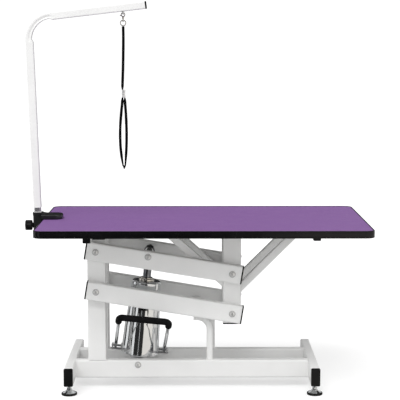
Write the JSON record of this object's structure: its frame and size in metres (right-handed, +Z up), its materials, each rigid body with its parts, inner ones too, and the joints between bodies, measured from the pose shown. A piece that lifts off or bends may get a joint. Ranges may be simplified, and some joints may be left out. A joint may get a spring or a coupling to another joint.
{
  "type": "grooming table",
  "caption": "Low pet grooming table on a parallelogram lift with a foot pump, a clamp-on bent grooming arm and a hanging noose.",
  "frame": {"origin": "on the floor, under the middle of the bounding box without the noose's cords", "axes": "+Z up, +X towards the end of the table away from the grooming arm, -Y towards the pedal side"},
  "size_m": [1.1332, 0.61, 1.2792],
  "materials": {
    "white_powder_coat": "satin white powder coat on steel tube",
    "black_plastic": "moulded black plastic",
    "black_coated_steel": "black powder coat",
    "chrome": "polished chrome plate",
    "zinc_plated_steel": "zinc plate",
    "board_wood": "sealed board",
    "purple_mat": "textured anti-slip rubber",
    "black_foam": "foam rubber",
    "black_nylon": "woven nylon"
  },
  "bodies": {
    "base": {"base_bar_left": "white_powder_coat", "base_bar_right": "white_powder_coat", "base_rail_front": "white_powder_coat", "base_rail_rear": "white_powder_coat", "base_cap_left_front": "black_plastic", "base_cap_left_rear": "black_plastic", "base_cap_right_front": "black_plastic", "base_cap_right_rear": "black_plastic", "fixed_post_front": "white_powder_coat", "fixed_post_rear": "white_powder_coat", "rest_stop": "white_powder_coat", "pivot_pin_lower_fixed": "chrome", "pivot_pin_upper_fixed": "chrome", "pump_base_pin": "chrome"},
    "foot_left_front": {"levelling_foot_left_front": "zinc_plated_steel"},
    "foot_left_rear": {"levelling_foot_left_rear": "zinc_plated_steel"},
    "foot_right_front": {"levelling_foot_right_front": "zinc_plated_steel"},
    "foot_right_rear": {"levelling_foot_right_rear": "zinc_plated_steel"},
    "lower_arms": {"lower_arm_front": "white_powder_coat", "lower_arm_rear": "white_powder_coat", "lower_arm_cap_left": "black_plastic", "lower_arm_cap_right": "black_plastic", "lower_arm_tie": "white_powder_coat", "pivot_pin_lower_moving": "chrome"},
    "upper_arms": {"upper_arm_front": "white_powder_coat", "upper_arm_rear": "white_powder_coat", "upper_arm_cap_left": "black_plastic", "upper_arm_cap_right": "black_plastic", "pivot_pin_upper_moving": "chrome", "ram_pin": "chrome"},
    "carriage": {"moving_post_front": "white_powder_coat", "moving_post_rear": "white_powder_coat", "top_rail_front": "white_powder_coat", "top_rail_rear": "white_powder_coat", "brace_left_front": "white_powder_coat", "brace_left_rear": "white_powder_coat", "brace_right_front": "white_powder_coat", "brace_right_rear": "white_powder_coat", "cross_tube_left": "white_powder_coat", "cross_tube_right": "white_powder_coat", "tabletop_board": "board_wood", "tabletop_mat": "purple_mat", "edge_trim": "black_plastic", "clamp_body": "black_coated_steel"},
    "pump": {"pump_cylinder": "zinc_plated_steel", "pump_cover": "chrome", "pump_gland": "zinc_plated_steel"},
    "ram": {"pump_ram": "chrome"},
    "pedal": {"pedal_frame": "chrome", "pedal_grip": "black_foam"},
    "jaw_screw": {"jaw_screw": "black_plastic"},
    "lock_knob": {"lock_knob": "black_plastic"},
    "arm": {"grooming_arm": "white_powder_coat", "grooming_arm_cap": "black_plastic", "noose_eye": "chrome"},
    "noose": {"snap_hook": "chrome", "noose_ring": "chrome", "noose_strap": "black_nylon", "noose_return": "black_nylon", "noose_slider": "chrome"}
  },
  "joints": [
    {"name": "lift", "type": "hinge", "parent": "base", "child": "lower_arms", "pos_m": [-0.32321, 0, 0.3305], "axis": [0, -1, 0], "range_deg": [0, 50]},
    {"name": "carriage_hinge", "type": "hinge", "parent": "lower_arms", "child": "carriage", "pos_m": [0.12483, 0, 0.25721], "axis": [0, -1, 0], "range_deg": [-50, 0]},
    {"name": "upper_arm_hinge", "type": "hinge", "parent": "base", "child": "upper_arms", "pos_m": [-0.32321, 0, 0.4634], "axis": [0, -1, 0], "range_deg": [0, 50]},
    {"name": "pump_tilt", "type": "hinge", "parent": "base", "child": "pump", "pos_m": [-0.18781, 0, 0.0781], "axis": [0, -1, 0], "range_deg": [0, 6.3]},
    {"name": "ram_slide", "type": "slide", "parent": "pump", "child": "ram", "axis": [0.0983, 0, 0.9952], "range_m": [0, 0.14]},
    {"name": "pedal_press", "type": "hinge", "parent": "pump", "child": "pedal", "pos_m": [-0.18295, -0.05, 0.12736], "axis": [0.9952, 0, -0.0983], "range_deg": [0, 28], "stiffness_Nm_per_rad": 3, "springref_deg": -28.65},
    {"name": "foot_screw_left_front", "type": "slide", "parent": "base", "child": "foot_left_front", "axis": [0, 0, 1], "range_m": [-0.02, 0]},
    {"name": "foot_screw_left_rear", "type": "slide", "parent": "base", "child": "foot_left_rear", "axis": [0, 0, 1], "range_m": [-0.02, 0]},
    {"name": "foot_screw_right_front", "type": "slide", "parent": "base", "child": "foot_right_front", "axis": [0, 0, 1], "range_m": [-0.02, 0]},
    {"name": "foot_screw_right_rear", "type": "slide", "parent": "base", "child": "foot_right_rear", "axis": [0, 0, 1], "range_m": [-0.02, 0]},
    {"name": "jaw_screw_travel", "type": "slide", "parent": "carriage", "child": "jaw_screw", "axis": [0, 0, 1], "range_m": [-0.012, 0]},
    {"name": "lock_knob_turn", "type": "hinge", "parent": "carriage", "child": "lock_knob", "pos_m": [-0.53959, 0, 0.53591], "axis": [-1, 0, 0], "continuous": true},
    {"name": "arm_height", "type": "slide", "parent": "carriage", "child": "arm", "axis": [-0.0318, 0, 0.9995], "range_m": [-0.15, 0]},
    {"name": "noose_swing", "type": "hinge", "parent": "arm", "child": "noose", "pos_m": [-0.23369, 0, 1.23666], "axis": [0, 1, 0], "range_deg": [-25, 25]}
  ],
  "couplings": [
    {"joint": "carriage_hinge", "follows": "lift", "ratio": -1},
    {"joint": "upper_arm_hinge", "follows": "lift", "ratio": 1},
    {"joint": "pump_tilt", "follows": "lift", "ratio": 0.1242},
    {"joint": "ram_slide", "follows": "lift", "m_per_rad": 0.1598}
  ]
}
